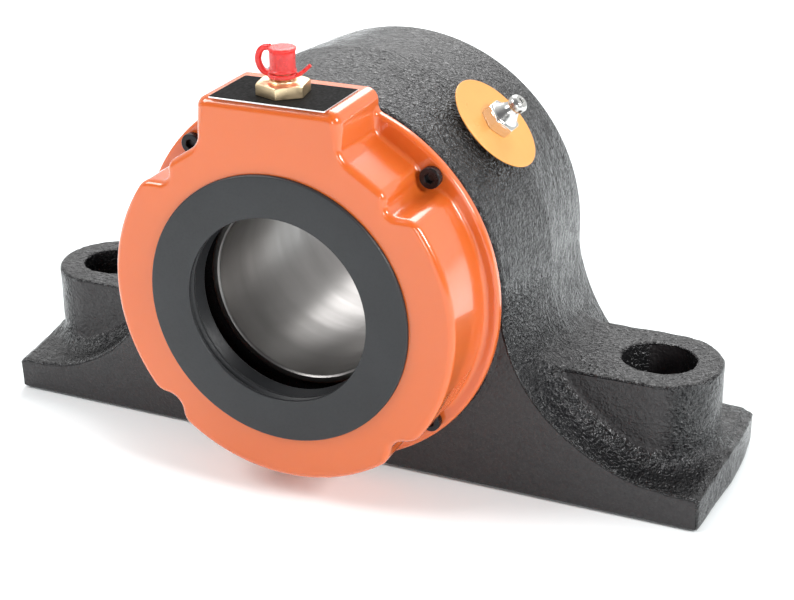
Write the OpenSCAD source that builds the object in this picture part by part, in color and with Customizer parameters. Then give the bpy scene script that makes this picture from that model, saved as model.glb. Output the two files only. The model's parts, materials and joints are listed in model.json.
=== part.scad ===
// Two-bolt pillow block with a self-aligning double-row spherical roller
// bearing, double set-screw locking collars and a moulded end cover with a
// shaft seal, grease adapter and capped grease fitting on its front.
// X runs along the base, the shaft runs along Y (front cover faces -Y), +Z is
// up, and the origin is the centre of the base's bottom face.

/* [Shaft] */
// Height of the shaft axis above the base
shaft_h = 69.85; // [60:0.05:80]
// Radius of the inner ring's bore
bore_r = 30.96; // [25:0.01:33]
// Half length of the inner ring
inner_half = 51; // [48:0.5:56]

/* [Base] */
// Half length of the base
base_half = 131; // [125:0.5:140]
// Half width of the base
base_w2 = 33.4; // [28:0.1:40]
// Height of the feet at their ends
foot_h = 10.8; // [8:0.1:14]
// Height of the bolt pads' tops
pad_h = 42.35; // [35:0.05:50]
// Half width of a bolt pad
pad_r = 20.7; // [18:0.1:24]
// Distance from the middle to the centre of a bolt slot
slot_x = 105.7; // [100:0.1:112]
// Half width of a bolt slot
slot_r = 10.9; // [8:0.1:12]
// Half length of a bolt slot
slot_half = 12.3; // [11:0.1:16]
// Radius of the sides' flare into the feet
flare_r = 62.2; // [50:0.1:70]

/* [Housing body] */
// Body radius at the parting line
body_r = 67.7; // [64:0.1:72]
// Body radius at the edges of the faces
body_edge_r = 64.8; // [62:0.1:70]
// Radius of the machined ring that carries the cover
ring_seat_r = 63.4; // [60:0.1:65]
// Distance from the middle to the machined face
ring_seat_y = 38.6; // [35:0.1:42]
// Radius of the bearing seat
seat_r = 55; // [50:0.1:58]

/* [Bearing] */
// Radius of the spherical outer raceway
race_r = 49; // [45:0.1:52]
// Half width of the outer ring
outer_half = 15; // [12:0.5:18]
// Distance from the bearing's centre to a roller's centre
pitch = 42.4; // [40:0.1:45]
// Contact angle of the rollers
contact = 11; // [8:0.5:14]
// Length of a roller
roller_l = 10; // [8:0.1:12]
// Gap between roller and raceways
race_gap = 0.12; // [0.05:0.01:0.2]
// Rollers in a row
rollers_row = 14; // [12:1:16]

/* [Covers] */
// Radius of a cover's barrel
cover_r = 60; // [56:0.1:64]
// Radius of a cover's flange
flange_r = 64.7; // [62:0.1:68]
// Rear face of the flange
cover_y0 = 39.4; // [38:0.1:42]
// Front face of the flange
flange_y = 43.2; // [42:0.1:46]
// Front face of the cover
cover_y1 = 69; // [64:0.1:74]
// Radius of the circle of cover screws
screw_pc = 59.9; // [58:0.1:62]
// Sideways offset of the cover's top boss from the shaft axis, towards -X (mm)
boss_off = 1.2; // [-3:0.1:3]
// Half width of the raised pad on top of a cover
boss_x = 24; // [18:0.5:26]
// Height of the raised pad above the shaft axis
boss_z = 67.6; // [64:0.1:70]

/* [Fittings] */
// Width across flats of the brass adapters
adapter_af = 15; // [12:0.1:17]
// Position of the adapters from the middle of the housing
adapter_y = 57.3; // [52:0.1:62]
// Radius of a grease fitting's head
zerk_r = 3.25; // [3:0.05:3.5]
// Radius of the round grease tag
tag_r = 17.4; // [14:0.1:22]
// Distance of the grease tag's middle in front of the housing's middle
tag_y = 4.1; // [0:0.1:8]

/* [Hidden] */
$fn = 96;
e = 0.02;
black = [0.06, 0.06, 0.065];
orange = [0.96, 0.42, 0.16];
steel = [0.75, 0.75, 0.76];
dark = [0.13, 0.13, 0.14];
brass = [0.85, 0.68, 0.36];
red = [0.87, 0.16, 0.18];
rubber = [0.16, 0.17, 0.18];
ca = cos(contact);
sa = sin(contact);
boss_top = shaft_h + boss_z;
plate_t = 0.5;
plate_z = boss_top + plate_t;
hex_h = 3.8;
neck_z = plate_z + hex_h;
tag_z = body_r + 0.15;
tag_t = 0.5;
set_y = 42.5;

// ---- helpers -------------------------------------------------------------
// solid of revolution about the shaft axis; profile points are [radius, y]
module rev_y() { translate([0, 0, shaft_h]) rotate([-90, 0, 0]) rotate_extrude() children(); }
// round bar along Y through (x, z)
module bar_y(r, y0, y1, x = 0, z = shaft_h) {
  translate([x, y0, z]) rotate([-90, 0, 0]) cylinder(r = r, h = y1 - y0);
}
// drawing in the X-Z plane pushed along Y from y0 to y1
module slab_y(y0, y1) { translate([0, y1, 0]) rotate([90, 0, 0]) linear_extrude(y1 - y0) children(); }
// stands its children on the body's 45 degree direction toward +X
module at45() { translate([0, -tag_y, shaft_h]) rotate([0, 45, 0]) children(); }
// the four screw positions of a cover
// turned with the cover about the shaft axis
module at_boss() { translate([-boss_off, 0, 0]) children(); }
module four() { for (a = [45, 135, 225, 315]) rotate([0, a, 0]) translate([0, 0, screw_pc]) children(); }

// ---- housing -------------------------------------------------------------
module front_outline() {
  union() {
    translate([0, shaft_h]) circle(r = body_edge_r);
    difference() {
      translate([-126.5, 0]) square([253, 73]);
      for (s = [-1, 1]) translate([s * 126.5, 73]) circle(r = flare_r);
      translate([-70, 70]) square([140, 10]);
    }
    translate([-base_half, 0]) square([2 * base_half, foot_h]);
  }
}
// the faces swell from the width of the base to that of the bearing seat
module side_outline() {
  k = ring_seat_y - base_w2;
  p = [[base_w2, 0], [base_w2 + 0.03 * k, 6], [base_w2 + 0.13 * k, 13], [base_w2 + 0.4 * k, 24],
    [base_w2 + 0.65 * k, 33], [base_w2 + 0.91 * k, 45], [ring_seat_y, 56], [ring_seat_y, 90]];
  polygon(concat(p, [for (i = [7 : -1 : 0]) [-p[i][0], p[i][1]]]));
}
module slot2d(r, half) {
  union() {
    square([2 * (half - r), 2 * r], center = true);
    for (s = [-1, 1]) translate([s * (half - r), 0]) circle(r = r);
  }
}
module pad(s) {
  linear_extrude(pad_h) union() {
    translate([s > 0 ? 45 : -106.5, -pad_r]) square([61.5, 2 * pad_r]);
    translate([s * 106.5, 0]) circle(r = pad_r);
  }
}
module housing() {
  color(black) difference() {
    union() {
      intersection() {
        slab_y(-ring_seat_y, ring_seat_y) front_outline();
        translate([-base_half - 5, 0, 0]) rotate([90, 0, 90]) linear_extrude(2 * base_half + 10) side_outline();
      }
      rev_y() polygon([[40, -ring_seat_y], [ring_seat_r, -ring_seat_y], [ring_seat_r, -33], [63.2, -31],
        [63.2, 31], [ring_seat_r, 33], [ring_seat_r, ring_seat_y], [40, ring_seat_y]]);
      intersection() {
        rev_y() polygon([[30, -ring_seat_y], [ring_seat_r, -ring_seat_y], [body_edge_r, -ring_seat_y + 1.4], [body_r, -11], [body_r, 11],
          [body_edge_r, ring_seat_y - 1.4], [ring_seat_r, ring_seat_y], [30, ring_seat_y]]);
        translate([-80, -50, 56]) cube([160, 100, 100]);
      }
      pad(1);
      pad(-1);
    }
    bar_y(seat_r, -60, 60);
    rev_y() union() {
      translate([50, outer_half]) square([7.3, 1.8]);
      translate([50, -outer_half - 1.8]) square([7.3, 1.8]);
    }
    for (s = [-1, 1]) translate([s * slot_x, 0, -1]) linear_extrude(pad_h + 2) slot2d(slot_r, slot_half);
    at45() union() {
      translate([0, 0, 50]) cylinder(r = 2, h = 10);
      translate([0, 0, 58.5]) cylinder(r = 4.9, h = 14);
    }
    translate([0, 0, shaft_h]) for (y = [-ring_seat_y - 1, ring_seat_y - 11]) translate([0, y, 0])
      four() rotate([-90, 0, 0]) cylinder(r = 2.02, h = 12);
  }
}

// ---- bearing -------------------------------------------------------------
module outer_ring() {
  color(steel) difference() {
    rev_y() difference() {
      polygon([[44, -outer_half + e], [seat_r - 1, -outer_half + e], [seat_r - e, -outer_half + 1], [seat_r - e, -2.2],
        [seat_r - 1.4, -1.6], [seat_r - 1.4, 1.6], [seat_r - e, 2.2], [seat_r - e, outer_half - 1],
        [seat_r - 1, outer_half - e], [44, outer_half - e]]);
      intersection() {
        circle(r = race_r, $fn = 128);
        translate([20, -30]) square([40, 60]);
      }
    }
    for (a = [45, 165, 285]) translate([0, 0, shaft_h]) rotate([0, a, 0]) translate([0, 0, 45]) cylinder(r = 1.4, h = 12);
  }
}
module inner_ring() {
  c = [2 * pitch * ca, 2 * pitch * sa];
  color(steel) difference() {
    rev_y() difference() {
      polygon([[bore_r, -inner_half + 0.6], [bore_r + 0.6, -inner_half], [33.4, -inner_half],
        [34, -inner_half + 0.6], [34, -16], [36.2, -16], [36.2, -12.6], [36.8, -12.4], [36.8, 12.4],
        [36.2, 12.6], [36.2, 16], [34, 16], [34, inner_half - 0.6], [33.4, inner_half],
        [bore_r + 0.6, inner_half], [bore_r, inner_half - 0.6]]);
      intersection() {
        union() { translate(c) circle(r = race_r); translate([c[0], -c[1]]) circle(r = race_r); }
        translate([20, -12.6]) square([60, 25.2]);
      }
    }
    for (y = [-set_y, set_y], a = [0, 65]) translate([0, y, shaft_h]) rotate([0, a, 0]) translate([0, 0, 25]) cylinder(r = 4.4, h = 12);
  }
}
module guide_ring() {
  color(dark) rev_y() polygon([[37.2, -1.95], [41, -2.6], [41, 2.6], [37.2, 1.95]]);
}
// one roller, standing at the centre of its own frame with its axis along Y
module roller_shape() {
  R = race_r - race_gap;
  rotate([-90, 0, 0]) rotate_extrude() intersection() {
    translate([-pitch, 0]) circle(r = R);
    polygon([[0, -roller_l / 2 + 0.4], [1.6, -roller_l / 2 + 0.4], [2, -roller_l / 2], [5.7, -roller_l / 2],
      [6.6, -roller_l / 2 + 0.7], [6.6, roller_l / 2 - 0.7], [5.7, roller_l / 2], [2, roller_l / 2],
      [1.6, roller_l / 2 - 0.4], [0, roller_l / 2 - 0.4]]);
  }
}
// puts its children at the centre of roller i of row s (-1 front, 1 rear)
module at_roller(s, i) {
  a = (i + (s > 0 ? 0.5 : 0)) * 360 / rollers_row;
  translate([0, 0, shaft_h]) rotate([0, a, 0]) translate([0, s * pitch * sa, pitch * ca])
    rotate([-s * contact, 0, 0]) children();
}
module roller(s, i) { color(steel) at_roller(s, i) roller_shape(); }
module cage(s) {
  color(brass) difference() {
    translate([0, 0, shaft_h]) rotate([-90, 0, 0]) rotate_extrude()
      polygon([for (p = [[42.05, 0.4], [43.35, 0.4], [40.75, 15.6], [36.9, 15.6], [36.9, 14.5], [39.6, 14.5]]) [p[0], s * p[1]]]);
    for (i = [0 : rollers_row - 1]) at_roller(s, i) rotate([-90, 0, 0]) cylinder(r = race_r - pitch + 0.15, h = roller_l + 0.6, center = true, $fn = 48);
  }
}
module retaining_rings() {
  color(dark) for (s = [-1, 1]) difference() {
    bar_y(57, s > 0 ? outer_half + 0.05 : -outer_half - 1.65, s > 0 ? outer_half + 1.65 : -outer_half - 0.05);
    bar_y(50.6, -30, 30);
    translate([0, s * outer_half, shaft_h - 54]) cube([9, 8, 10], center = true);
    for (x = [-7.6, 7.6]) bar_y(1, -30, 30, x, shaft_h - 52.4);
  }
}
module bearing_seal_case(s) {
  color(steel) rev_y() polygon([for (p = [[36.5, 24], [seat_r - e, 24], [seat_r - e, 32.5], [36.5, 32.5], [36.5, 31.3], [53.6, 31.3],
    [53.6, 25.2], [36.5, 25.2]]) [p[0], s * p[1]]]);
}
module floating_seal_rings() {
  color(rubber) for (s = [-1, 1]) rev_y() polygon([for (p = [[35, 27.3], [36, 26.65], [47, 26.65], [47, 29.85], [36, 29.85], [35, 29.2]]) [p[0], s * p[1]]]);
}
module locking_collar(s) {
  color(dark) difference() {
    rev_y() polygon([for (p = [[34 + e, 36], [43, 36], [44, 37], [44, 48], [43, 49], [34 + e, 49]]) [p[0], s * p[1]]]);
    for (a = [0, 65]) translate([0, s * set_y, shaft_h]) rotate([0, a, 0]) translate([0, 0, 30]) cylinder(r = 4.02, h = 20);
  }
}
module collar_set_screws() {
  color(dark) for (s = [-1, 1], a = [0, 65]) translate([0, s * set_y, shaft_h]) rotate([0, a, 0]) difference() {
    union() {
      translate([0, 0, 32.2]) cylinder(r = 4, h = 10.4);
      translate([0, 0, 31.3]) cylinder(r1 = 2.6, r2 = 3.6, h = 0.95);
    }
    translate([0, 0, 38]) cylinder(r = 2.3, h = 6, $fn = 6);
  }
}

// ---- covers --------------------------------------------------------------
module end_cover() {
  color(orange) difference() {
    union() {
      rev_y() polygon([[48, -cover_y0], [flange_r, -cover_y0], [flange_r, -flange_y + 1.3],
        [flange_r - 1.3, -flange_y], [48, -flange_y]]);
      difference() {
        rev_y() polygon([[30, -cover_y1], [cover_r - 2.2, -cover_y1], [cover_r, -cover_y1 + 2.2],
          [cover_r, -cover_y0], [48, -cover_y0], [48, -cover_y1 + 4], [30, -cover_y1 + 4]]);
        slab_y(-cover_y1 - 1, -flange_y) union() {
          for (s = [-1, 1]) {
            translate([s > 0 ? 37.7 : -67.7, shaft_h + 37.2]) square([30, 40]);
            translate([s > 0 ? 37.7 : -67.7, shaft_h - 78.4]) square([30, 40]);
            polygon([[s * 23, shaft_h + 53.6], [s * 38, shaft_h + 43.9], [s * 38, shaft_h + 62], [s * 23, shaft_h + 62]]);
          }
        }
      }
      at_boss() translate([-boss_x, -cover_y1, shaft_h + 48]) difference() {
        cube([2 * boss_x, cover_y1 - cover_y0, boss_z - 48]);
        for (x = [0, 2 * boss_x]) translate([x, 15, boss_z - 48]) rotate([0, 45, 0]) cube([2.4, 60, 2.4], center = true);
      }
    }
    rev_y() polygon([[0, -cover_y0 + 1], [51, -cover_y0 + 1], [51, -cover_y1 + 5], [49, -cover_y1 + 3], [0, -cover_y1 + 3]]);
    bar_y(42.6, -cover_y1 - 1, -cover_y1 + 4);
    at_boss() translate([0, -adapter_y, shaft_h + 46]) cylinder(r = 6.55, h = 30);
    translate([0, 0, shaft_h]) translate([0, -cover_y0 - 5, 0]) four() rotate([-90, 0, 0]) cylinder(r = 2.25, h = 8);
  }
}
module cover_seal() {
  color(rubber) rev_y() polygon([[31.25, -70.3], [45, -70.3], [45.3, -70], [45.3, -cover_y1 - e], [42.5, -cover_y1 - e],
    [42.5, -cover_y1 + 3.05], [45, -cover_y1 + 3.05], [45, -64.4], [37, -64.4], [33.6, -59.2], [31.9, -59.2], [31.6, -59.8],
    [34.2, -64.2], [31.9, -65], [31.9, -66], [33.6, -67], [33.6, -68.4], [31.25, -69.1]]);
}
module cover_gasket() {
  color(dark) difference() {
    rev_y() polygon([[55.2, -ring_seat_y - e], [ring_seat_r, -ring_seat_y - e], [ring_seat_r, -cover_y0 + e], [55.2, -cover_y0 + e]]);
    translate([0, -ring_seat_y - 3, shaft_h]) four() rotate([-90, 0, 0]) cylinder(r = 2.25, h = 6);
  }
}
module cover_screws() {
  color(dark) translate([0, -flange_y - e, shaft_h]) four() rotate([-90, 0, 0]) difference() {
    union() {
      translate([0, 0, -2.8]) cylinder(r = 3.5, h = 2.8);
      cylinder(r = 1.98, h = 13);
    }
    translate([0, 0, -4]) cylinder(r = 1.75, h = 2.8, $fn = 6);
  }
}
module label_plate() {
  color(dark) at_boss() translate([0, -adapter_y, boss_top + e]) difference() {
    translate([-19.8, -12, 0]) cube([39.6, 24, plate_t - 2 * e]);
    translate([0, 0, -1]) cylinder(r = 6.6, h = 3);
  }
}
module cover_adapter() {
  color(brass) at_boss() translate([0, -adapter_y, 0]) difference() {
    union() {
      translate([0, 0, plate_z]) intersection() {
        rotate([0, 0, 40]) cylinder(r = adapter_af / 2 / cos(30), h = hex_h, $fn = 6);
        cylinder(r1 = 10.8, r2 = 7.9, h = hex_h);
      }
      translate([0, 0, shaft_h + 53]) cylinder(r = 6.5, h = plate_z - shaft_h - 53 + 0.01);
    }
    translate([0, 0, shaft_h + 40]) cylinder(r = 2, h = 60);
    translate([0, 0, neck_z - 8]) cylinder(r = 3.42, h = 10);
  }
}
// grease fitting with its threaded shank below z = 0 and its head above
module fitting(shank_r, shank_l, hex_af, hx, head_z) {
  difference() {
    union() {
      translate([0, 0, -shank_l]) cylinder(r = shank_r, h = shank_l + 0.01);
      if (hex_af > 0) rotate([0, 0, 90]) intersection() {
        cylinder(r = hex_af / 2 / cos(30), h = hx, $fn = 6);
        cylinder(r1 = hex_af / 2 + 2, r2 = hex_af / 2 + 0.1, h = hx);
      }
      translate([0, 0, hx - 0.01]) cylinder(r1 = hex_af > 0 ? hex_af / 2 - 0.3 : 3.2, r2 = 2.5, h = head_z - hx - 2);
      cylinder(r = 2.5, h = head_z + 0.5);
      translate([0, 0, head_z]) rotate_extrude() polygon([[0, 0], [2.5, 0], [zerk_r, 1.2], [zerk_r, 2.4], [2.1, 3.9], [0, 3.9]]);
    }
    translate([0, 0, -shank_l - 1]) cylinder(r = 0.9, h = shank_l + 2.01);
    translate([0, 0, 1]) cylinder(r = 1.5, h = head_z + 1.5);
    translate([0, 0, head_z + 2.49]) cylinder(r1 = 1.5, r2 = 0.9, h = 0.61);
    translate([0, 0, head_z]) cylinder(r = 0.9, h = 5);
  }
}
module at_cap() { at_boss() translate([0, -adapter_y, neck_z]) children(); }
module cover_fitting() { color(brass) at_cap() fitting(3.4, 7.5, 0, 1.2, 4.6); }
module cover_fitting_ball() { color(steel) at_cap() translate([0, 0, 6]) sphere(r = 1.3, $fn = 32); }
module dust_cap() {
  color(red) at_cap() difference() {
    union() {
      translate([0, 0, 3]) cylinder(r = 4.05, h = 7.2);
      translate([0, 0, 9.2]) cylinder(r1 = 4.05, r2 = 4.35, h = 0.9);
      translate([0, 0, 10.1 - 0.01]) cylinder(r = 4.35, h = 0.81);
    }
    translate([0, 0, 2]) cylinder(r = 3.35, h = 7.2);
    translate([0, 0, 9.19]) cylinder(r1 = 3.35, r2 = 2, h = 0.8);
  }
}
// strap: a ring round the fitting's neck, a loop up to the cap's top, and a tail
module cap_strap() {
  color(red) at_cap() union() {
    translate([0, 0, 1.3]) difference() {
      cylinder(r = 4.6, h = 1.3);
      translate([0, 0, -1]) cylinder(r = 3.3, h = 4);
    }
    difference() {
      translate([-4.2, 0.95, 6.1]) rotate([90, 0, 0]) cylinder(r = 5.2, h = 1.9);
      translate([-4.2, 3, 6.1]) rotate([90, 0, 0]) cylinder(r = 3.2, h = 6);
      translate([-4.35, -3, -2]) cube([12, 6, 20]);
    }
    translate([3.9, 0, 1.95]) rotate([0, 58, 20]) cylinder(r = 0.65, h = 6);
  }
}

// ---- grease tag and housing fitting ---------------------------------------
module grease_tag() {
  color(orange) at45() translate([0, 0, tag_z]) difference() {
    cylinder(r = tag_r, h = tag_t);
    translate([0, 0, -1]) cylinder(r = 5, h = 3);
  }
}
module housing_grease_fitting() { color(steel) at45() translate([0, 0, tag_z + tag_t + e]) fitting(4.85, 9, 11, 4.2, 8.2); }
module housing_fitting_ball() { color(steel) at45() translate([0, 0, tag_z + tag_t + e + 9.6]) sphere(r = 1.3, $fn = 32); }

housing();
outer_ring();
inner_ring();
guide_ring();
cage(-1);  // cage_front
cage(1);  // cage_rear
roller(-1, 0);  // roller_front_01
roller(-1, 1);  // roller_front_02
roller(-1, 2);  // roller_front_03
roller(-1, 3);  // roller_front_04
roller(-1, 4);  // roller_front_05
roller(-1, 5);  // roller_front_06
roller(-1, 6);  // roller_front_07
roller(-1, 7);  // roller_front_08
roller(-1, 8);  // roller_front_09
roller(-1, 9);  // roller_front_10
roller(-1, 10);  // roller_front_11
roller(-1, 11);  // roller_front_12
roller(-1, 12);  // roller_front_13
roller(-1, 13);  // roller_front_14
roller(1, 0);  // roller_rear_01
roller(1, 1);  // roller_rear_02
roller(1, 2);  // roller_rear_03
roller(1, 3);  // roller_rear_04
roller(1, 4);  // roller_rear_05
roller(1, 5);  // roller_rear_06
roller(1, 6);  // roller_rear_07
roller(1, 7);  // roller_rear_08
roller(1, 8);  // roller_rear_09
roller(1, 9);  // roller_rear_10
roller(1, 10);  // roller_rear_11
roller(1, 11);  // roller_rear_12
roller(1, 12);  // roller_rear_13
roller(1, 13);  // roller_rear_14
retaining_rings();
bearing_seal_case(-1);  // bearing_seal_case_front
bearing_seal_case(1);  // bearing_seal_case_rear
floating_seal_rings();
locking_collar(-1);  // locking_collar_front
locking_collar(1);  // locking_collar_rear
collar_set_screws();
end_cover();
cover_seal();
cover_gasket();
cover_screws();
label_plate();
cover_adapter();
cover_fitting();
cover_fitting_ball();
dust_cap();
cap_strap();
grease_tag();
housing_grease_fitting();
housing_fitting_ball();
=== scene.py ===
import json, math
import bpy, bmesh
import numpy as np
from mathutils import Matrix, Vector


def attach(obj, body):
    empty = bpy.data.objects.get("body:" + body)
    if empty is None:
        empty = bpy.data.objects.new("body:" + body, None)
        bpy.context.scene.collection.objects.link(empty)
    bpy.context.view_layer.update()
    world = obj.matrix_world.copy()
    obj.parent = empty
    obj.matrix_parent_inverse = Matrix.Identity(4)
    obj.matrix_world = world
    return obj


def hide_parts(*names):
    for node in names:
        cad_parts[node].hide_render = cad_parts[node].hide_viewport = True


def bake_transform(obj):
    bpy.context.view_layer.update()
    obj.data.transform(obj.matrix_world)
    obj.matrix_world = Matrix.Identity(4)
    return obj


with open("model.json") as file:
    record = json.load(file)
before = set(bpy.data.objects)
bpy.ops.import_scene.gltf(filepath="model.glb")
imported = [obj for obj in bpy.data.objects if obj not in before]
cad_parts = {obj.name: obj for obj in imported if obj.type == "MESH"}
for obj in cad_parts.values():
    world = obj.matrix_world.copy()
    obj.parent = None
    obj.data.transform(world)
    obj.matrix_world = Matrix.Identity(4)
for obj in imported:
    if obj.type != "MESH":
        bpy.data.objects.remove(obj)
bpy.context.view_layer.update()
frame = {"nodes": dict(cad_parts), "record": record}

H = 69.85            # shaft height, mm
MM = 0.001
scene = bpy.context.scene
ROOT = "housing_body"
BOSS = 1.2           # the cover's top boss sits this far to the left of the shaft, mm

# ---------------------------------------------------------------- camera
def make_camera():
    az, el, roll = math.radians(25.09), math.radians(23.01), math.radians(-0.88)
    back = Vector((math.sin(az) * math.cos(el), -math.cos(az) * math.cos(el), math.sin(el)))
    r = Vector((math.cos(az), math.sin(az), 0))
    u = back.cross(r)
    r2 = math.cos(roll) * r + math.sin(roll) * u
    u2 = -math.sin(roll) * r + math.cos(roll) * u
    pos = Vector((0, 0, 60 * MM)) + back * (597.05 * MM)
    m = Matrix(((r2.x, u2.x, back.x, pos.x), (r2.y, u2.y, back.y, pos.y), (r2.z, u2.z, back.z, pos.z), (0, 0, 0, 1)))
    cam = bpy.data.cameras.new("view_camera")
    o = bpy.data.objects.new("view_camera", cam)
    scene.collection.objects.link(o)
    o.matrix_world = m
    cam.sensor_fit = "HORIZONTAL"
    cam.sensor_width = 36.0
    cam.lens = 1697.8 / 794 * 36.0
    cam.shift_x = 27.91 / 794
    cam.shift_y = -39.75 / 794
    cam.clip_start, cam.clip_end = 0.01, 20.0
    scene.camera = o
make_camera()

# ---------------------------------------------------------------- distance-field modelling (mm)
def ru(a, b, r):
    """union with a fillet of radius r"""
    return np.maximum(r, np.minimum(a, b)) - np.hypot(np.maximum(r - a, 0), np.maximum(r - b, 0))
def ri(a, b, r):
    """intersection with an edge rounded to radius r"""
    return np.minimum(-r, np.maximum(a, b)) + np.hypot(np.maximum(r + a, 0), np.maximum(r + b, 0))
def cut(a, b, r):
    return ri(a, -b, r)
def step01(t):
    t = np.clip(t, 0, 1)
    return t * t * (3 - 2 * t)
def hexd(x, y, af, turn=0.0):
    d = None
    for k in range(3):
        t = math.radians(60 * k + turn)
        v = np.abs(x * math.cos(t) + y * math.sin(t)) - af / 2
        d = v if d is None else np.maximum(d, v)
    return d

def field_mesh(f, lo, hi, h, steps=4, eps=0.03):
    """dual mesh of f = 0 on a grid of cell h, its vertices pulled on to the surface"""
    ax = [np.arange(lo[i], hi[i] + h * 1.5, h, dtype=np.float32) for i in range(3)]
    n = [len(a) for a in ax]
    F = np.empty(n, np.float32)
    st = max(1, int(3e6 // (n[1] * n[2])))
    for i in range(0, n[0], st):
        X, Y, Z = np.meshgrid(ax[0][i:i + st], ax[1], ax[2], indexing="ij")
        F[i:i + st] = f(X, Y, Z)
    S = F < 0
    c = [slice(0, -1), slice(1, None)]
    anyv = np.zeros([k - 1 for k in n], bool); allv = np.ones([k - 1 for k in n], bool)
    for a in (0, 1):
        for b in (0, 1):
            for d in (0, 1):
                s = S[c[a], c[b], c[d]]
                anyv |= s; allv &= s
    act = anyv & ~allv
    idx = np.full(act.shape, -1, np.int64)
    I = np.argwhere(act)
    idx[act] = np.arange(len(I))
    P = np.zeros((len(I), 3)); W = np.zeros(len(I))
    off = [(a, b, d) for a in (0, 1) for b in (0, 1) for d in (0, 1)]
    for o1 in off:
        for k in range(3):
            if o1[k]:
                continue
            o2 = list(o1); o2[k] = 1
            v1 = F[I[:, 0] + o1[0], I[:, 1] + o1[1], I[:, 2] + o1[2]].astype(np.float64)
            v2 = F[I[:, 0] + o2[0], I[:, 1] + o2[1], I[:, 2] + o2[2]].astype(np.float64)
            m = (v1 < 0) != (v2 < 0)
            t = np.zeros(len(I)); t[m] = v1[m] / (v1[m] - v2[m])
            q = np.tile(np.array(o1, float), (len(I), 1)); q[:, k] += t
            P[m] += q[m]; W[m] += 1
    P /= W[:, None]
    cell = I + 0.0
    P = (cell + P) * h + np.array(lo)
    home = P.copy()
    def grad(P):
        g = np.empty_like(P)
        for k in range(3):
            e = np.zeros(3); e[k] = eps
            A, B = P + e, P - e
            g[:, k] = (f(A[:, 0], A[:, 1], A[:, 2]) - f(B[:, 0], B[:, 1], B[:, 2])) / (2 * eps)
        return g
    for _ in range(steps):
        g = grad(P)
        v = f(P[:, 0], P[:, 1], P[:, 2])
        mv = g * (v / np.maximum((g * g).sum(1), 0.25))[:, None]
        L = np.linalg.norm(mv, axis=1)
        mv *= np.minimum(1, 0.5 * h / np.maximum(L, 1e-9))[:, None]
        P = P - mv
        d = P - home
        P = home + np.clip(d, -0.9 * h, 0.9 * h)
    G = grad(P)
    G /= np.maximum(np.linalg.norm(G, axis=1), 1e-9)[:, None]
    quads = []
    for k in range(3):
        sl1 = [slice(1, -1)] * 3; sl2 = [slice(1, -1)] * 3
        sl1[k] = slice(0, -1); sl2[k] = slice(1, None)
        A, B = S[tuple(sl1)], S[tuple(sl2)]
        ch = np.argwhere(A != B)
        if not len(ch):
            continue
        inside = A[ch[:, 0], ch[:, 1], ch[:, 2]]
        e = ch.copy()
        for j in range(3):
            if j != k:
                e[:, j] += 1
        a, b = [(1, 2), (2, 0), (0, 1)][k]
        ds = []
        for da, db in ((1, 1), (0, 1), (0, 0), (1, 0)):
            q = e.copy(); q[:, a] -= da; q[:, b] -= db
            ds.append(idx[q[:, 0], q[:, 1], q[:, 2]])
        Q = np.stack(ds, 1)
        Q[~inside] = Q[~inside][:, ::-1]
        quads.append(Q)
    Q = np.concatenate(quads)
    Q = Q[(Q >= 0).all(1)]
    return P, Q, G

def mesh_object(name, P, Q, body=ROOT, normals=None, scale=MM):
    me = bpy.data.meshes.new(name)
    P = np.asarray(P, float) * scale
    me.vertices.add(len(P)); me.vertices.foreach_set("co", P.astype(np.float32).ravel())
    Q = np.asarray(Q, np.int32)
    me.loops.add(Q.size); me.loops.foreach_set("vertex_index", Q.ravel())
    me.polygons.add(len(Q))
    me.polygons.foreach_set("loop_start", np.arange(0, Q.size, Q.shape[1], dtype=np.int32))
    me.polygons.foreach_set("loop_total", np.full(len(Q), Q.shape[1], np.int32))
    me.polygons.foreach_set("use_smooth", np.ones(len(Q), bool))
    me.update(calc_edges=True)
    me.validate()
    if normals is not None and len(me.vertices) == len(normals):
        me.normals_split_custom_set_from_vertices([tuple(v) for v in normals])
    o = bpy.data.objects.new(name, me)
    scene.collection.objects.link(o)
    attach(o, body)
    return o

def field_object(name, f, lo, hi, h, body=ROOT, normals=True, place=None, push=None, steps=4):
    P, Q, G = field_mesh(f, lo, hi, h, steps)
    if push is not None:
        P = P + G * push(P, G)[:, None]
    if place is not None:
        R = np.array(place.to_3x3()); T = np.array(place.translation)
        P = P @ R.T + T; G = G @ R.T
    return mesh_object(name, P, Q, body, G if normals else None)

def soften(points, closed=True):
    """profile with rounded corners: points are (a, b, radius)"""
    out = []
    n = len(points)
    for i in range(n):
        p = np.array(points[i][:2], float); rad = points[i][2] if len(points[i]) > 2 else 0
        if rad <= 0 or (not closed and i in (0, n - 1)):
            out.append(tuple(p)); continue
        a = np.array(points[i - 1][:2], float) - p; b = np.array(points[(i + 1) % n][:2], float) - p
        la, lb = np.linalg.norm(a), np.linalg.norm(b); a /= la; b /= lb
        ang = math.acos(max(-1, min(1, float(a @ b))))
        t = min(rad / math.tan(ang / 2), 0.49 * la, 0.49 * lb)
        rr = t * math.tan(ang / 2)
        c = p + (a + b) / np.linalg.norm(a + b) * (rr / math.sin(ang / 2))
        s, e = p + a * t - c, p + b * t - c
        th0 = math.atan2(s[1], s[0]); th1 = math.atan2(e[1], e[0])
        d = (th1 - th0 + math.pi) % (2 * math.pi) - math.pi
        k = max(2, int(abs(d) / 0.26) + 1)
        for j in range(k + 1):
            th = th0 + d * j / k
            out.append((c[0] + rr * math.cos(th), c[1] + rr * math.sin(th)))
    return out

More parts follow.
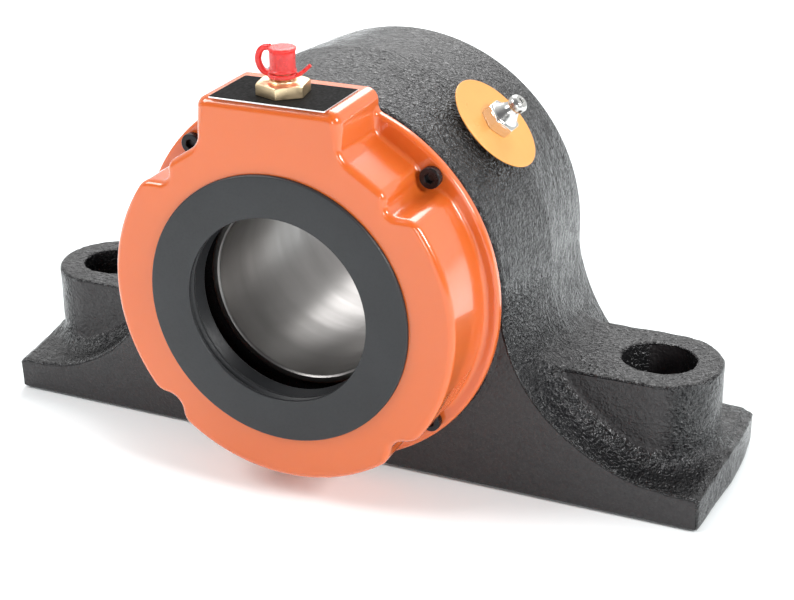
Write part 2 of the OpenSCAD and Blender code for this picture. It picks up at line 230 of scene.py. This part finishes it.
def lathe(name, profile, segs=192, body=ROOT, place=None, closed=True, smooth_deg=40, axis="Y"):
    """turns a profile of (radius, along, corner radius) about the axis"""
    prof = soften(profile, closed)
    n = len(prof)
    P, Q = [], []
    for i in range(segs):
        t = 2 * math.pi * i / segs
        for r, a in prof:
            if axis == "Y":
                P.append((r * math.sin(t), a, r * math.cos(t)))
            else:
                P.append((r * math.cos(t), r * math.sin(t), a))
    for i in range(segs):
        j = (i + 1) % segs
        for k in range(n if closed else n - 1):
            l = (k + 1) % n
            Q.append((i * n + k, i * n + l, j * n + l, j * n + k))
    bm = bmesh.new()
    vs = [bm.verts.new(Vector(p) * MM) for p in P]
    bm.verts.index_update()
    for q in Q:
        vv = [vs[i] for i in q]
        try:
            bm.faces.new(vv)
        except ValueError:
            pass
    bmesh.ops.remove_doubles(bm, verts=bm.verts, dist=2e-6)
    if not closed:
        bmesh.ops.holes_fill(bm, edges=bm.edges, sides=segs + 2)
    bmesh.ops.recalc_face_normals(bm, faces=bm.faces)
    for f in bm.faces:
        f.smooth = True
    me = bpy.data.meshes.new(name)
    bm.to_mesh(me); bm.free()
    o = bpy.data.objects.new(name, me)
    scene.collection.objects.link(o)
    if place is not None:
        me.transform(place)
    sharpen(me, smooth_deg)
    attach(o, body)
    return o

def sharpen(me, deg):
    me.set_sharp_from_angle(angle=math.radians(deg))

# ---------------------------------------------------------------- materials
def new_mat(name):
    m = bpy.data.materials.new(name)
    m.use_nodes = True
    nt = m.node_tree
    b = nt.nodes["Principled BSDF"]
    return m, nt, b
def node(nt, kind, **kw):
    n = nt.nodes.new(kind)
    for k, v in kw.items():
        if k == "inputs":
            for a, c in v.items():
                n.inputs[a].default_value = c
        else:
            setattr(n, k, v)
    return n
def coords(nt):
    return nt.nodes.new("ShaderNodeTexCoord").outputs["Object"]
def noise(nt, vec, scale, detail=3.0, rough=0.5, dist=0.0):
    n = node(nt, "ShaderNodeTexNoise", inputs={"Scale": scale, "Detail": detail, "Roughness": rough, "Distortion": dist})
    nt.links.new(vec, n.inputs["Vector"])
    return n.outputs["Fac"]
def ramp(nt, fac, stops):
    r = nt.nodes.new("ShaderNodeValToRGB")
    el = r.color_ramp.elements
    while len(el) < len(stops):
        el.new(0.5)
    for e, (p, c) in zip(el, stops):
        e.position = p
        e.color = c if len(c) == 4 else (*c, 1)
    nt.links.new(fac, r.inputs["Fac"])
    return r.outputs["Color"]
def remap(nt, fac, a, b, c, d):
    m = node(nt, "ShaderNodeMapRange", inputs={"From Min": a, "From Max": b, "To Min": c, "To Max": d})
    nt.links.new(fac, m.inputs["Value"])
    return m.outputs["Result"]
def bump(nt, bsdf, height, strength, distance, prev=None):
    b = node(nt, "ShaderNodeBump", inputs={"Strength": strength, "Distance": distance})
    nt.links.new(height, b.inputs["Height"])
    if prev is not None:
        nt.links.new(prev, b.inputs["Normal"])
    nt.links.new(b.outputs["Normal"], bsdf.inputs["Normal"])
    return b.outputs["Normal"]
def math_node(nt, op, a, b=None, clamp=False):
    m = node(nt, "ShaderNodeMath", operation=op, use_clamp=clamp)
    for i, v in enumerate((a, b)):
        if v is None:
            continue
        if isinstance(v, (int, float)):
            m.inputs[i].default_value = v
        else:
            nt.links.new(v, m.inputs[i])
    return m.outputs[0]

def mat_cast():
    m, nt, b = new_mat("cast_black_paint")
    v = coords(nt)
    tc = nt.nodes.new("ShaderNodeTexCoord")
    sn = node(nt, "ShaderNodeSeparateXYZ"); nt.links.new(tc.outputs["Normal"], sn.inputs[0])
    sp = node(nt, "ShaderNodeSeparateXYZ"); nt.links.new(v, sp.inputs[0])
    ny = math_node(nt, "ABSOLUTE", sn.outputs["Y"])
    # the flat front and rear faces are smoother than the sides and the crown
    grain = remap(nt, ny, 0.86, 0.97, 1.0, 0.34)
    big = noise(nt, v, 35, 4, 0.55)
    col = ramp(nt, big, [(0.3, (0.0062, 0.0062, 0.0068)), (0.7, (0.0120, 0.0118, 0.0125))])
    # painted reflection: the flat front and rear faces get a lighter grey base colour that stands in for the white
    # floor reflected in them
    face = remap(nt, ny, 0.86, 0.97, 0.0, 1.0)
    painted_face_reflection_mix = node(nt, "ShaderNodeMix", data_type="RGBA")
    nt.links.new(face, painted_face_reflection_mix.inputs[0]); nt.links.new(col, painted_face_reflection_mix.inputs[6]); painted_face_reflection_mix.inputs[7].default_value = (0.022, 0.0195, 0.0205, 1)
    nt.links.new(painted_face_reflection_mix.outputs[2], b.inputs["Base Color"])
    g1 = noise(nt, v, 900, 2.5, 0.55, 0.4)
    g0 = noise(nt, v, 330, 2, 0.5)
    g3 = noise(nt, v, 120, 2, 0.5)
    rr = math_node(nt, "ADD", remap(nt, g0, 0.3, 0.7, 0.09, 0.16), remap(nt, ny, 0.86, 0.97, 0.0, 0.20))
    nt.links.new(rr, b.inputs["Roughness"])
    h = math_node(nt, "ADD", math_node(nt, "MULTIPLY", g1, 1.0), math_node(nt, "MULTIPLY", g0, 0.6))
    h = math_node(nt, "MULTIPLY", math_node(nt, "ADD", h, math_node(nt, "MULTIPLY", g3, 0.3)), grain)
    # parting line: two thin ridges side by side, above the base only
    y = math_node(nt, "ABSOLUTE", sp.outputs["Y"])
    d = math_node(nt, "ABSOLUTE", math_node(nt, "SUBTRACT", y, 0.0011))
    ridge = remap(nt, d, 0.0, 0.0007, 0.14, 0.0)
    up = remap(nt, sp.outputs["Z"], 0.044, 0.050, 0.0, 1.0)
    wav = remap(nt, noise(nt, v, 70, 2, 0.5), 0.35, 0.6, 0.15, 1.0)
    h = math_node(nt, "ADD", h, math_node(nt, "MULTIPLY", math_node(nt, "MULTIPLY", ridge, up), wav))
    bump(nt, b, h, 1.0, 0.0011)
    # grain: the tops of the paint shine, the pits between them stay dull
    shine = remap(nt, math_node(nt, "ADD", math_node(nt, "MULTIPLY", g1, 0.7), math_node(nt, "MULTIPLY", g0, 0.3)), 0.36, 0.64, 0.17, 0.74)
    even = math_node(nt, "MULTIPLY", math_node(nt, "SUBTRACT", 0.42, shine), math_node(nt, "MULTIPLY", face, 0.75))
    nt.links.new(math_node(nt, "ADD", shine, even), b.inputs["Specular IOR Level"])
    return m

def mat_orange():
    m, nt, b = new_mat("cover_orange_plastic")
    v = coords(nt)
    big = noise(nt, v, 18, 3, 0.5)
    col = ramp(nt, big, [(0.3, (0.59, 0.112, 0.016)), (0.7, (0.63, 0.124, 0.019))])
    nt.links.new(col, b.inputs["Base Color"])
    f = noise(nt, v, 260, 3, 0.5)
    nt.links.new(remap(nt, f, 0.3, 0.7, 0.2, 0.27), b.inputs["Roughness"])
    b.inputs["Subsurface Weight"].default_value = 0.25
    b.inputs["Subsurface Radius"].default_value = (0.004, 0.0015, 0.0006)
    b.inputs["Subsurface Scale"].default_value = 1.0
    b.inputs["Coat Weight"].default_value = 0.6
    b.inputs["Coat Roughness"].default_value = 0.04
    w = noise(nt, v, 60, 2, 0.5)
    bump(nt, b, w, 0.08, 0.0006)
    return m

def mat_steel(name, base, rough, aniso_scale=None, streak=0.15):
    m, nt, b = new_mat(name)
    v = coords(nt)
    b.inputs["Metallic"].default_value = 1.0
    big = noise(nt, v, 40, 3, 0.5)
    c0 = tuple(x * 0.9 for x in base); c1 = tuple(min(1, x * 1.06) for x in base)
    nt.links.new(ramp(nt, big, [(0.3, c0), (0.7, c1)]), b.inputs["Base Color"])
    mp = node(nt, "ShaderNodeMapping")
    nt.links.new(v, mp.inputs["Vector"])
    mp.inputs["Scale"].default_value = (60, 4000, 60) if aniso_scale is None else aniso_scale
    s = noise(nt, mp.outputs["Vector"], 1.0, 3, 0.6)
    nt.links.new(remap(nt, s, 0.3, 0.7, rough * 0.75, rough * 1.35), b.inputs["Roughness"])
    bump(nt, b, s, streak, 0.00005)
    return m

def mat_plain(name, base, rough, metallic=0.0, scale=300, strength=0.2, dist=0.0001, spread=0.15, **kw):
    m, nt, b = new_mat(name)
    v = coords(nt)
    b.inputs["Metallic"].default_value = metallic
    big = noise(nt, v, 60, 3, 0.5)
    c0 = tuple(x * (1 - spread) for x in base); c1 = tuple(min(1, x * (1 + spread)) for x in base)
    nt.links.new(ramp(nt, big, [(0.3, c0), (0.7, c1)]), b.inputs["Base Color"])
    f = noise(nt, v, scale, 4, 0.6)
    nt.links.new(remap(nt, f, 0.3, 0.7, rough * 0.8, rough * 1.25), b.inputs["Roughness"])
    bump(nt, b, f, strength, dist)
    for k, val in kw.items():
        b.inputs[k.replace("_", " ")].default_value = val
    return m

MAT = {
    "cast_black": mat_cast(),
    "cover_orange": mat_orange(),
    "bearing_steel": mat_steel("bearing_steel", (0.62, 0.62, 0.63), 0.16),
    "ground_steel": mat_steel("ground_steel", (0.26, 0.25, 0.243), 0.36, (6, 90, 6), 0.0),
    "sheet_steel": mat_plain("sheet_steel", (0.5, 0.51, 0.52), 0.34, 1.0, 500, 0.15),
    "black_oxide": mat_plain("black_oxide", (0.02, 0.02, 0.022), 0.3, 0.7, 900, 0.2),
    "cage_brass": mat_plain("cage_brass", (0.62, 0.42, 0.16), 0.28, 1.0, 800, 0.15),
    "adapter_brass": mat_plain("adapter_brass", (0.93, 0.72, 0.45), 0.34, 1.0, 400, 0.04, 0.00004, 0.05),
    "seal_rubber": mat_plain("seal_rubber", (0.0125, 0.0135, 0.0155), 0.44, 0.0, 1400, 0.25, 0.0001, 0.12),
    "gasket": mat_plain("gasket", (0.03, 0.027, 0.024), 0.8, 0.0, 700, 0.5),
    "cap_red": mat_plain("cap_red", (0.86, 0.045, 0.04), 0.28, 0.0, 260, 0.05, 0.0001, 0.08, Subsurface_Weight=0.6, Subsurface_Scale=0.004, Transmission_Weight=0.3),
    "label_black": mat_plain("label_black", (0.012, 0.012, 0.012), 0.6, 0.0, 900, 0.06, 0.00003, 0.2, Specular_IOR_Level=0.02),
    "label_edge": mat_plain("label_edge", (0.75, 0.75, 0.76), 0.3, 0.9, 900, 0.1),
    "tag_orange": mat_plain("tag_orange", (0.86, 0.38, 0.10), 0.34, 0.3, 250, 0.03, 0.00003, 0.04),
    "zinc_plate": mat_plain("zinc_plate", (0.60, 0.60, 0.58), 0.22, 1.0, 900, 0.12, 0.00005, 0.06),
}
def dress(o, key):
    o.data.materials.clear()
    o.data.materials.append(MAT[key])

# CAD nodes take the detailed materials too
for sub in frame["record"]["subparts"]:
    o = frame["nodes"][sub["node"]]
    for s in o.material_slots:
        s.material = MAT[sub["material_slot"]]
    if not o.material_slots:
        o.data.materials.append(MAT[sub["material_slot"]])

# ---------------------------------------------------------------- housing
def housing_field(x, y, z):
    ax, ay, zz = np.abs(x), np.abs(y), z - H
    rear = step01((y + 8.0) / 30.0)
    yf = 33.4 + 5.2 * step01(z / 56.0) + 0.8 * rear * step01((40.0 - z) / 30.0)
    off = 0.075 * np.maximum(38.6 - ay, 0)
    r = np.hypot(x, zz)
    body = r - 64.8
    ped = np.maximum(np.maximum(62.4 - np.hypot(ax - 126.5, z - 73.0), ax - 126.5), z - 73.0)
    foot = np.maximum(ax - 129.3 - 1.8 * rear, z - 10.5)
    d2 = ru(ru(body, ped, 1.0), foot, 4.0) - off
    d = ri(d2, ay - yf, 1.3)
    dx = np.maximum(ax - 106.5, 0)
    pad = ri(np.hypot(dx, y) - 20.7, z - 42.35, 1.0)
    d = ru(d, pad, 6.0)
    ring = ri(r - 63.4, ay - 38.6, 0.5)
    d = ru(d, ring, 2.0)
    d = ri(d, -z, 0.8)
    sl = np.hypot(np.maximum(np.abs(ax - 105.7) - 1.4, 0), y) - 10.9
    d = cut(d, sl, 0.7)
    d = cut(d, r - 55.0, 0.8)
    # the rear machined face keeps its four threaded holes open
    q = 59.9 / math.sqrt(2)
    hole = np.hypot(ax - q, np.abs(zz) - q)
    d = cut(d, np.maximum(np.minimum(hole - 2.02, hole - 2.6 + (38.6 - y)), 27.6 - y), 0.15)
    return d
def smooth_noise(P, wave, seed):
    """cheap repeatable noise: a few sums of sines of random directions"""
    rs = np.random.RandomState(seed)
    v = np.zeros(len(P))
    for _ in range(14):
        k = rs.normal(size=3); k *= 2 * math.pi / wave * rs.uniform(0.6, 1.6) / np.linalg.norm(k)
        v += np.sin(P @ k + rs.uniform(0, 6.28))
    return v / 14 ** 0.5
def housing_push(P, G):
    r = np.hypot(P[:, 0], P[:, 2] - H)
    rough = (r > 56.5) & (P[:, 2] > 2.0)
    sl = np.hypot(np.maximum(np.abs(np.abs(P[:, 0]) - 105.7) - 1.4, 0), P[:, 1]) > 12.5
    face = (np.abs(P[:, 1]) > 32.5)
    a = 0.10 * smooth_noise(P, 11.0, 3) + 0.05 * smooth_noise(P, 5.0, 4)
    # flat seat under the round tag
    u = (P[:, 0] - (P[:, 2] - H)) * 0.70711
    seat = (np.hypot(u, P[:, 1] + 4.1) < 19.0) & (P[:, 0] + P[:, 2] > H)
    return np.where(seat, -0.12, np.where(rough & sl & ~face, a, 0.0))
HS = 1.25
housing = field_object("housing_casting", housing_field, (-134, -40.5, -1.5), (134, 40.5, 140), HS, push=housing_push)
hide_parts("housing")
dress(housing, "cast_black")

def drill(target, name, r, h, at, direction, segs=48):
    """cuts a round hole with a boolean that is applied at once"""
    bm = bmesh.new()
    bmesh.ops.create_cone(bm, cap_ends=True, segments=segs, radius1=r * MM, radius2=r * MM, depth=h * MM)
    me = bpy.data.meshes.new(name); bm.to_mesh(me); bm.free()
    o = bpy.data.objects.new(name, me); scene.collection.objects.link(o)
    d = Vector(direction).normalized()
    o.matrix_world = Matrix.Translation(Vector(at) * MM) @ d.to_track_quat("Z", "Y").to_matrix().to_4x4()
    bpy.context.view_layer.update()
    mod = target.modifiers.new("cut", "BOOLEAN")
    mod.operation, mod.object, mod.solver = "DIFFERENCE", o, "EXACT"
    dg = bpy.context.evaluated_depsgraph_get()
    new = bpy.data.meshes.new_from_object(target.evaluated_get(dg), depsgraph=dg)
    target.modifiers.clear()
    old = target.data
    target.data = new
    bpy.data.meshes.remove(old)
    bpy.data.objects.remove(o)

# ---------------------------------------------------------------- end cover
def cover_field(x, y, z):
    ax, zz = np.abs(x), z - H
    r = np.hypot(x, zz)
    fl = ri(r - 64.7, np.abs(y + 41.3) - 1.9, 1.3)
    prof = r - 60.0
    up = ri(37.7 - ax, 37.2 - zz, 3.5)
    lo = ri(37.7 - ax, zz + 38.4, 6.0)
    prof = cut(prof, up, 2.2)
    prof = cut(prof, lo, 2.6)
    ch = np.where(zz > 0, 0.546 * ax + 0.838 * zz - 57.45, -30.0)
    prof = ri(prof, ch, 2.0)
    box = np.maximum(ri(np.abs(x + 1.75) - 24.6, zz - 67.6, 4.0), 40.0 - zz)
    prof = ru(prof, box, 2.6)
    b = ri(prof, -y - 69.0, 2.2 + 1.1 * step01((zz - 55.0) / 9.0))
    b = ri(b, y + 39.4, 0.9)
    d = ru(b, fl, 1.6)
    cav = ri(r - 50.0, -y - 66.0, 2.5)
    d = cut(d, np.maximum(cav, -80 - y), 0.3)
    d = cut(d, r - 42.6, 0.4)
    hole = np.maximum(np.hypot(x + BOSS, y + 57.3) - 6.55, 40.0 - zz)
    d = cut(d, hole, 0.3)
    q = 59.9 / math.sqrt(2)
    d = cut(d, np.hypot(ax - q, np.abs(zz) - q) - 2.25, 0.2)
    return d
CS = 0.72
cover = field_object("end_cover_moulding", cover_field, (-67, -71, 3), (67, -37.5, 139.5), CS, steps=5)
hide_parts("end_cover")
dress(cover, "cover_orange")

# ---------------------------------------------------------------- shaft seal in the cover
seal = lathe("cover_seal_rubber", [
    (31.25, -70.3, 0.35), (45.3, -70.3, 0.7), (45.3, -69.02, 0.1), (42.5, -69.02, 0), (42.5, -65.95, 0), (45.0, -65.95, 0.3),
    (45.0, -64.4, 0.4), (37.0, -64.4, 1.0), (33.6, -59.2, 0.4), (31.9, -59.2, 0.2), (31.6, -59.8, 0.2), (34.2, -64.2, 0.5),
    (31.9, -65.0, 0.25), (31.9, -66.0, 0.25), (33.6, -67.0, 0.4), (33.6, -68.4, 0.4), (31.25, -69.1, 0.25)],
    segs=224, place=Matrix.Translation((0, 0, H * MM)))
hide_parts("cover_seal")
dress(seal, "seal_rubber")

# ---------------------------------------------------------------- inner ring: ground bore with broken edges
prof = [(30.96, -50.3, 0.4), (31.6, -51.0, 0.3), (33.3, -51.0, 0.4), (34.0, -50.3, 0.3), (34.0, -16.0, 0.2), (36.2, -16.0, 0.3), (36.2, -12.6, 0.3)]
for k in range(0, 17):
    yy = -12.4 + k * (12.4 - 1.2) / 16
    prof.append((83.2429 - math.sqrt(49.0 ** 2 - (-yy - 16.1806) ** 2), yy, 0))
prof += [(36.8, -0.6, 0), (36.8, 0.6, 0)]
prof += [(r, -a, c) for r, a, c in reversed(prof[:-2])]
inner = lathe("inner_ring_ground", prof, segs=192, body="inner_assembly", place=Matrix.Translation((0, 0, H * MM)))
for yy in (-42.5, 42.5):
    for a in (0, 65):
        t = math.radians(a)
        drill(inner, "hole", 4.4, 12, (31 * math.sin(t), yy, H + 31 * math.cos(t)), (math.sin(t), 0, math.cos(t)))
sharpen(inner.data, 40)
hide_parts("inner_ring")
dress(inner, "ground_steel")

# ---------------------------------------------------------------- small pieces
def socket_screw(x, y, z):
    # seat of the head at z = 0, its top at z = 2.8, shank below
    r = np.hypot(x, y)
    th = np.arctan2(y, x)
    head = ri(r - 3.5 + 0.06 * (1 + np.cos(th * 26)) * (z < 2.2), np.abs(z - 1.4) - 1.4, 0.4)
    d = ru(head, np.maximum(r - 1.98, np.abs(z + 3.0) - 4.0), 0.3)
    return cut(d, np.maximum(hexd(x, y, 3.03), 1.2 - z), 0.12)
SP, SQ, SG = field_mesh(socket_screw, (-4, -4, -7.5), (4, 4, 3.4), 0.2)
PP, QQ, GG = [], [], []
for k in range(4):
    t = math.radians(45 + 90 * k)
    R = np.array(Matrix.Rotation(math.pi / 2, 3, "X"))
    spin = np.array(Matrix.Rotation(math.radians(17 + 31 * k), 3, "Z"))
    P = SP @ spin.T @ R.T + np.array((59.9 * math.sin(t), -43.2, H + 59.9 * math.cos(t)))
    QQ.append(SQ + len(SP) * k); PP.append(P); GG.append(SG @ spin.T @ R.T)
screws = mesh_object("cover_screws_socket_head", np.concatenate(PP), np.concatenate(QQ), ROOT, np.concatenate(GG))
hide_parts("cover_screws")
dress(screws, "black_oxide")

PZ = H + 67.6 + 0.5          # top of the label plate
NZ = PZ + 3.8                # top of the adapter's hexagon
def adapter_field(x, y, z):
    # z from the top of the label plate
    r = np.hypot(x, y)
    hx = hexd(x, y, 15.0, 10)
    cone = (r - 8.05) * 0.5 + (z - 3.8) * 0.866
    d = ri(ri(hx, np.abs(z - 1.9) - 1.9, 0.18), cone, 0.2)
    d = ru(d, np.maximum(r - 4.2, np.abs(z - 2.2) - 2.2), 0.4)
    d = ru(d, np.maximum(r - 6.5, np.abs(z + 7.4) - 7.5), 0.1)
    return cut(d, np.maximum(r - 3.42, -4.0 - z), 0.15)
adapter = field_object("cover_adapter_hexagon", adapter_field, (-9.5, -9.5, -15.5), (9.5, 9.5, 5), 0.26, place=Matrix.Translation((-BOSS, -57.3, PZ)))
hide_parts("cover_adapter")
dress(adapter, "adapter_brass")

# label plate: thin plate with a black face and bright edges
def plate_mesh():
    bm = bmesh.new()
    outer = []
    hx, hy, rc = 19.8, 12.0, 0.5
    for cx, cy, a0 in ((hx - rc, hy - rc, 0), (-hx + rc, hy - rc, 90), (-hx + rc, -hy + rc, 180), (hx - rc, -hy + rc, 270)):
        for k in range(10):
            a = math.radians(a0 + 90 * k / 9)
            outer.append((cx + rc * math.cos(a), cy + rc * math.sin(a)))
    m = len(outer)
    hole = [(6.6 * math.cos(math.atan2(py, px)), 6.6 * math.sin(math.atan2(py, px))) for px, py in outer]
    def ringv(pts, z, inset=0.0):
        return [bm.verts.new(((px - math.copysign(inset, px)) * MM, (py - math.copysign(inset, py)) * MM, z * MM)) for px, py in pts]
    loops = [ringv(hole, 0.02), ringv(outer, 0.02, 0.05), ringv(outer, 0.07), ringv(outer, 0.41), ringv(outer, 0.48, 0.08), ringv(outer, 0.48, 0.16), ringv(hole, 0.48)]
    for a in range(len(loops)):
        b = (a + 1) % len(loops)
        for i in range(m):
            j = (i + 1) % m
            f = bm.faces.new((loops[a][i], loops[a][j], loops[b][j], loops[b][i]))
            f.material_index = 0 if a >= 4 and a < 6 else 1
    bmesh.ops.recalc_face_normals(bm, faces=bm.faces)
    me = bpy.data.meshes.new("label_plate_printed"); bm.to_mesh(me); bm.free()
    me.transform(Matrix.Translation((-BOSS * MM, -57.3 * MM, (PZ - 0.5) * MM)))
    o = bpy.data.objects.new("label_plate_printed", me)
    scene.collection.objects.link(o)
    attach(o, ROOT)
    return o
plate = plate_mesh()
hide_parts("label_plate")
plate.data.materials.append(MAT["label_black"]); plate.data.materials.append(MAT["label_edge"])

# dust cap: soft moulded cup with a flared top
cap_place = Matrix.Translation((-BOSS * MM, -57.3 * MM, NZ * MM))
cap = lathe("dust_cap_moulded", [(0.001, 10.75, 0), (3.3, 10.8, 0.4), (4.35, 10.7, 0.4), (4.38, 10.0, 0.3), (4.02, 9.3, 0.5), (3.98, 6, 0), (4.05, 3.9, 0.3),
    (4.3, 3.6, 0.25), (4.3, 3.0, 0.25), (3.5, 3.0, 0.15), (3.35, 3.4, 0.1), (3.35, 8.9, 0.6), (0.001, 9.4, 0)],
    segs=72, body="dust_cap", place=cap_place, closed=False, axis="Z", smooth_deg=50)
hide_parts("dust_cap")
dress(cap, "cap_red")

def sweep(name, path, wide, thick, body, place, taper=None, segs=16, roundness=0.45, up=(0, 1, 0)):
    """band of rounded section along a path (mm); wide runs along up"""
    path = [Vector(p) for p in path]
    n = len(path)
    bm = bmesh.new(); loops = []
    for i, p in enumerate(path):
        t = (path[min(i + 1, n - 1)] - path[max(i - 1, 0)]).normalized()
        w = (Vector(up) - t * Vector(up).dot(t)).normalized()
        s = t.cross(w)
        k = 1.0 if taper is None else taper(i / (n - 1))
        ring = []
        for j in range(segs):
            a = 2 * math.pi * j / segs
            ca, sa = math.cos(a), math.sin(a)
            e = roundness
            px = math.copysign(abs(ca) ** e, ca) * wide / 2 * k
            py = math.copysign(abs(sa) ** e, sa) * thick / 2 * k
            ring.append(bm.verts.new((p + w * px + s * py) * MM))
        loops.append(ring)
    for a, b in zip(loops, loops[1:]):
        for j in range(segs):
            bm.faces.new((a[j], a[(j + 1) % segs], b[(j + 1) % segs], b[j]))
    bm.faces.new(loops[0][::-1]); bm.faces.new(loops[-1])
    bmesh.ops.recalc_face_normals(bm, faces=bm.faces)
    for f in bm.faces:
        f.smooth = True
    me = bpy.data.meshes.new(name); bm.to_mesh(me); bm.free()
    me.transform(place)
    o = bpy.data.objects.new(name, me); scene.collection.objects.link(o)
    sharpen(me, 60)
    return o
# strap: from the ring on the neck round the left side up to the cap's top
pts = []
ctrl = [(-4.0, 1.9), (-5.7, 2.1), (-7.3, 3.2), (-8.2, 5.0), (-8.3, 6.8), (-7.6, 8.7), (-6.2, 9.9), (-4.1, 10.25)]
from mathutils.geometry import interpolate_bezier
def spline(ctrl, per=8):
    out = []
    c = [Vector(v) for v in ctrl]
    for i in range(len(c) - 1):
        p0 = c[max(i - 1, 0)]; p1 = c[i]; p2 = c[i + 1]; p3 = c[min(i + 2, len(c) - 1)]
        for k in range(per):
            t = k / per
            out.append(0.5 * ((2 * p1) + (p2 - p0) * t + (2 * p0 - 5 * p1 + 4 * p2 - p3) * t * t + (3 * p1 - p0 - 3 * p2 + p3) * t ** 3))
    out.append(c[-1])
    return out
path = spline([(x, 0, z) for x, z in ctrl])
strap = sweep("cap_strap_loop", path, 1.8, 1.9, None, cap_place, roundness=0.6)
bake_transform(strap)
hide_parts("cap_strap")
dress(strap, "cap_red")
ringp = lathe("cap_strap_ring", [(3.3, 1.3, 0.2), (4.6, 1.3, 0.35), (4.6, 2.6, 0.35), (3.3, 2.6, 0.2)], segs=64, place=cap_place, axis="Z", smooth_deg=50)
dress(ringp, "cap_red")
tail = sweep("cap_strap_tail", spline([(4.2, 0.3, 1.95), (5.6, 0.8, 2.6), (7.2, 1.4, 4.0), (8.6, 1.9, 5.4)]), 1.4, 1.4, ROOT, cap_place, taper=lambda t: 1.0 - 0.25 * t, roundness=1.0)
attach(tail, ROOT)
dress(tail, "cap_red")

# grease tag and the housing's fitting, on the 45 degree direction
AT45 = Matrix.Translation((0, -4.1 * MM, H * MM)) @ Matrix.Rotation(math.radians(45), 4, "Y")
AT45mm = Matrix.Translation((0, -4.1, H)) @ Matrix.Rotation(math.radians(45), 4, "Y")
tz = 67.7 + 0.15
tag = lathe("grease_tag_disc", [(5.0, tz, 0.05), (17.1, tz + 0.0, 0.1), (17.4, tz + 0.12, 0.08), (17.4, tz + 0.5, 0.12), (16.9, tz + 0.5, 0.1), (16.6, tz + 0.44, 0.1), (6.6, tz + 0.42, 0.1), (6.2, tz + 0.5, 0.1), (5.0, tz + 0.5, 0.05)],
    segs=160, place=AT45, axis="Z", smooth_deg=30)
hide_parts("grease_tag")
dress(tag, "tag_orange")

def fitting_field(x, y, z):
    # z from the tag's face: hexagon, cone, neck, ball head with its hole
    r = np.hypot(x, y)
    hx = hexd(x, y, 11.0, 0)
    cone = (r - 5.75) * 0.5 + (z - 4.2) * 0.866
    d = ri(ri(hx, np.abs(z - 2.1) - 2.1, 0.2), cone, 0.2)
    c2 = np.maximum(r - (5.0 - (z - 4.0) * 0.62), np.abs(z - 6.0) - 2.6) * 0.85
    d = ru(d, c2, 0.3)
    neck = np.maximum(r - 2.45, np.abs(z - 8.0) - 2.6)
    d = ru(d, neck, 0.8)
    hd = ri(ri(np.maximum(r - 3.25, (r - 3.25) * 0.6 - (z - 9.3) * 0.8), (r - 3.25) * 0.75 + (z - 11.0) * 0.66, 0.3), z - 12.1, 0.25)
    hd = np.maximum(hd, (8.2 - z))
    d = ru(d, hd, 0.3)
    d = ru(d, np.maximum(r - 4.85, np.abs(z + 4.4) - 4.5), 0.1)
    return cut(d, np.maximum(r - 0.95, 9.0 - z), 0.12)
fit = field_object("housing_grease_fitting_plated", fitting_field, (-7, -7, -9.5), (7, 7, 13), 0.22,
    place=AT45mm @ Matrix.Translation((0, 0, tz + 0.52)))
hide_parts("housing_grease_fitting")
dress(fit, "zinc_plate")

# ---------------------------------------------------------------- stage and light
def plane(name, size, z):
    bm = bmesh.new()
    s = size / 2
    bmesh.ops.create_grid(bm, x_segments=8, y_segments=8, size=s)
    me = bpy.data.meshes.new(name); bm.to_mesh(me); bm.free()
    o = bpy.data.objects.new(name, me); scene.collection.objects.link(o)
    o.location.z = z
    return o
floor = plane("studio_floor", 12, -0.0005)
fm, fnt, fb = new_mat("studio_floor_white")
fb.inputs["Base Color"].default_value = (0.93, 0.965, 0.97, 1)
fb.inputs["Emission Color"].default_value = (0.95, 1.0, 1.0, 1)
fb.inputs["Emission Strength"].default_value = 0.05
fb.inputs["Roughness"].default_value = 0.9
fb.inputs["Specular IOR Level"].default_value = 0.1
floor.data.materials.append(fm)

w = bpy.data.worlds.new("studio"); scene.world = w
w.use_nodes = True
wn = w.node_tree
bg = wn.nodes["Background"]
wt = wn.nodes.new("ShaderNodeTexCoord")
wd = node(wn, "ShaderNodeVectorMath", operation="DOT_PRODUCT")
wn.links.new(wt.outputs["Generated"], wd.inputs[0]); wd.inputs[1].default_value = (-0.38, 0.86, 0.10)
# white backdrop behind and to the left, a darker room in front
wf = remap(wn, wd.outputs["Value"], -0.35, 0.35, 0.0, 1.0)
wc = ramp(wn, wf, [(0.0, (0.22, 0.22, 0.23)), (0.45, (0.46, 0.46, 0.47)), (1.0, (1.0, 1.0, 1.0))])
wn.links.new(wc, bg.inputs["Color"])
bg.inputs["Strength"].default_value = 0.95

def area(name, at, look, size, power, size_y=None):
    l = bpy.data.lights.new(name, "AREA")
    l.energy = power
    l.shape = "RECTANGLE"; l.size = size; l.size_y = size_y or size
    o = bpy.data.objects.new(name, l); scene.collection.objects.link(o)
    o.location = at
    o.rotation_mode = "QUATERNION"
    o.rotation_quaternion = (Vector(look) - Vector(at)).to_track_quat("-Z", "Y")
    return o
area("key_left", (-0.9, -0.7, 1.1), (0, 0, 0.06), 0.6, 14)
area("top_back", (-0.2, 0.9, 1.0), (0, 0, 0.08), 0.9, 14)
area("right_soft", (1.2, -0.25, 0.75), (0.05, 0, 0.06), 0.4, 16)
area("front_soft", (0.55, -1.2, 0.30), (0.05, 0, 0.03), 0.3, 3)

scene.view_settings.view_transform = "Standard"
scene.view_settings.look = "None"
